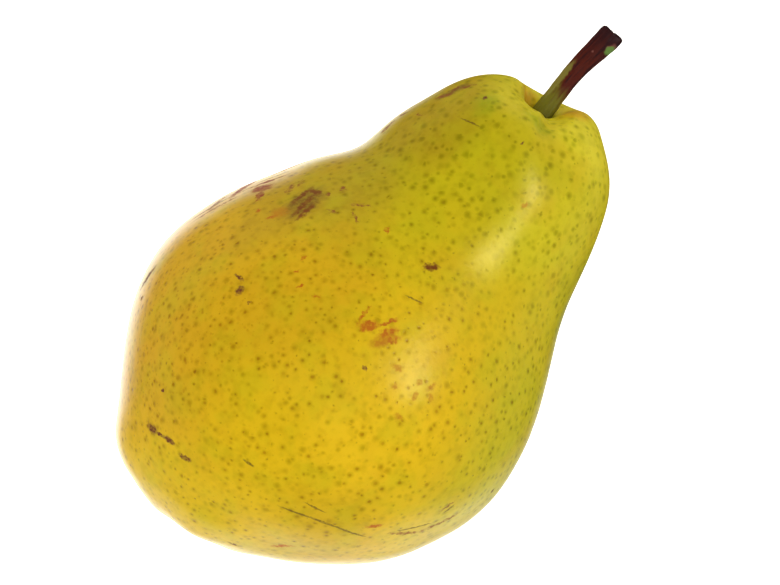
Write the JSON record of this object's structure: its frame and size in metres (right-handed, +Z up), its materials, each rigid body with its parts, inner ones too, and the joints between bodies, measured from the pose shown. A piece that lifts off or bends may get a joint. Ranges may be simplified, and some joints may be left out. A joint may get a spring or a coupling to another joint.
{
  "type": "pear",
  "caption": "Ripe yellow-green pear lying on its side, with a round belly, a lobed neck, a woody stem and a dried calyx.",
  "frame": {"origin": "on the small flat spot that the fruit lies on, straight below the fruit's weight", "axes": "+X along the fruit from its base to its stem, +Y to its left side seen from above, +Z up"},
  "size_m": [0.1182, 0.074, 0.0718],
  "materials": {
    "skin": "waxy satin fruit skin, yellow turning green at the neck, with fine dots and russet marks",
    "stem_bark": "smooth red-brown bark, green at the foot",
    "dried_sepal": "dry, dull, dark brown"
  },
  "bodies": {
    "root": {"fruit": "skin", "stem": "stem_bark", "calyx": "dried_sepal"}
  },
  "joints": []
}
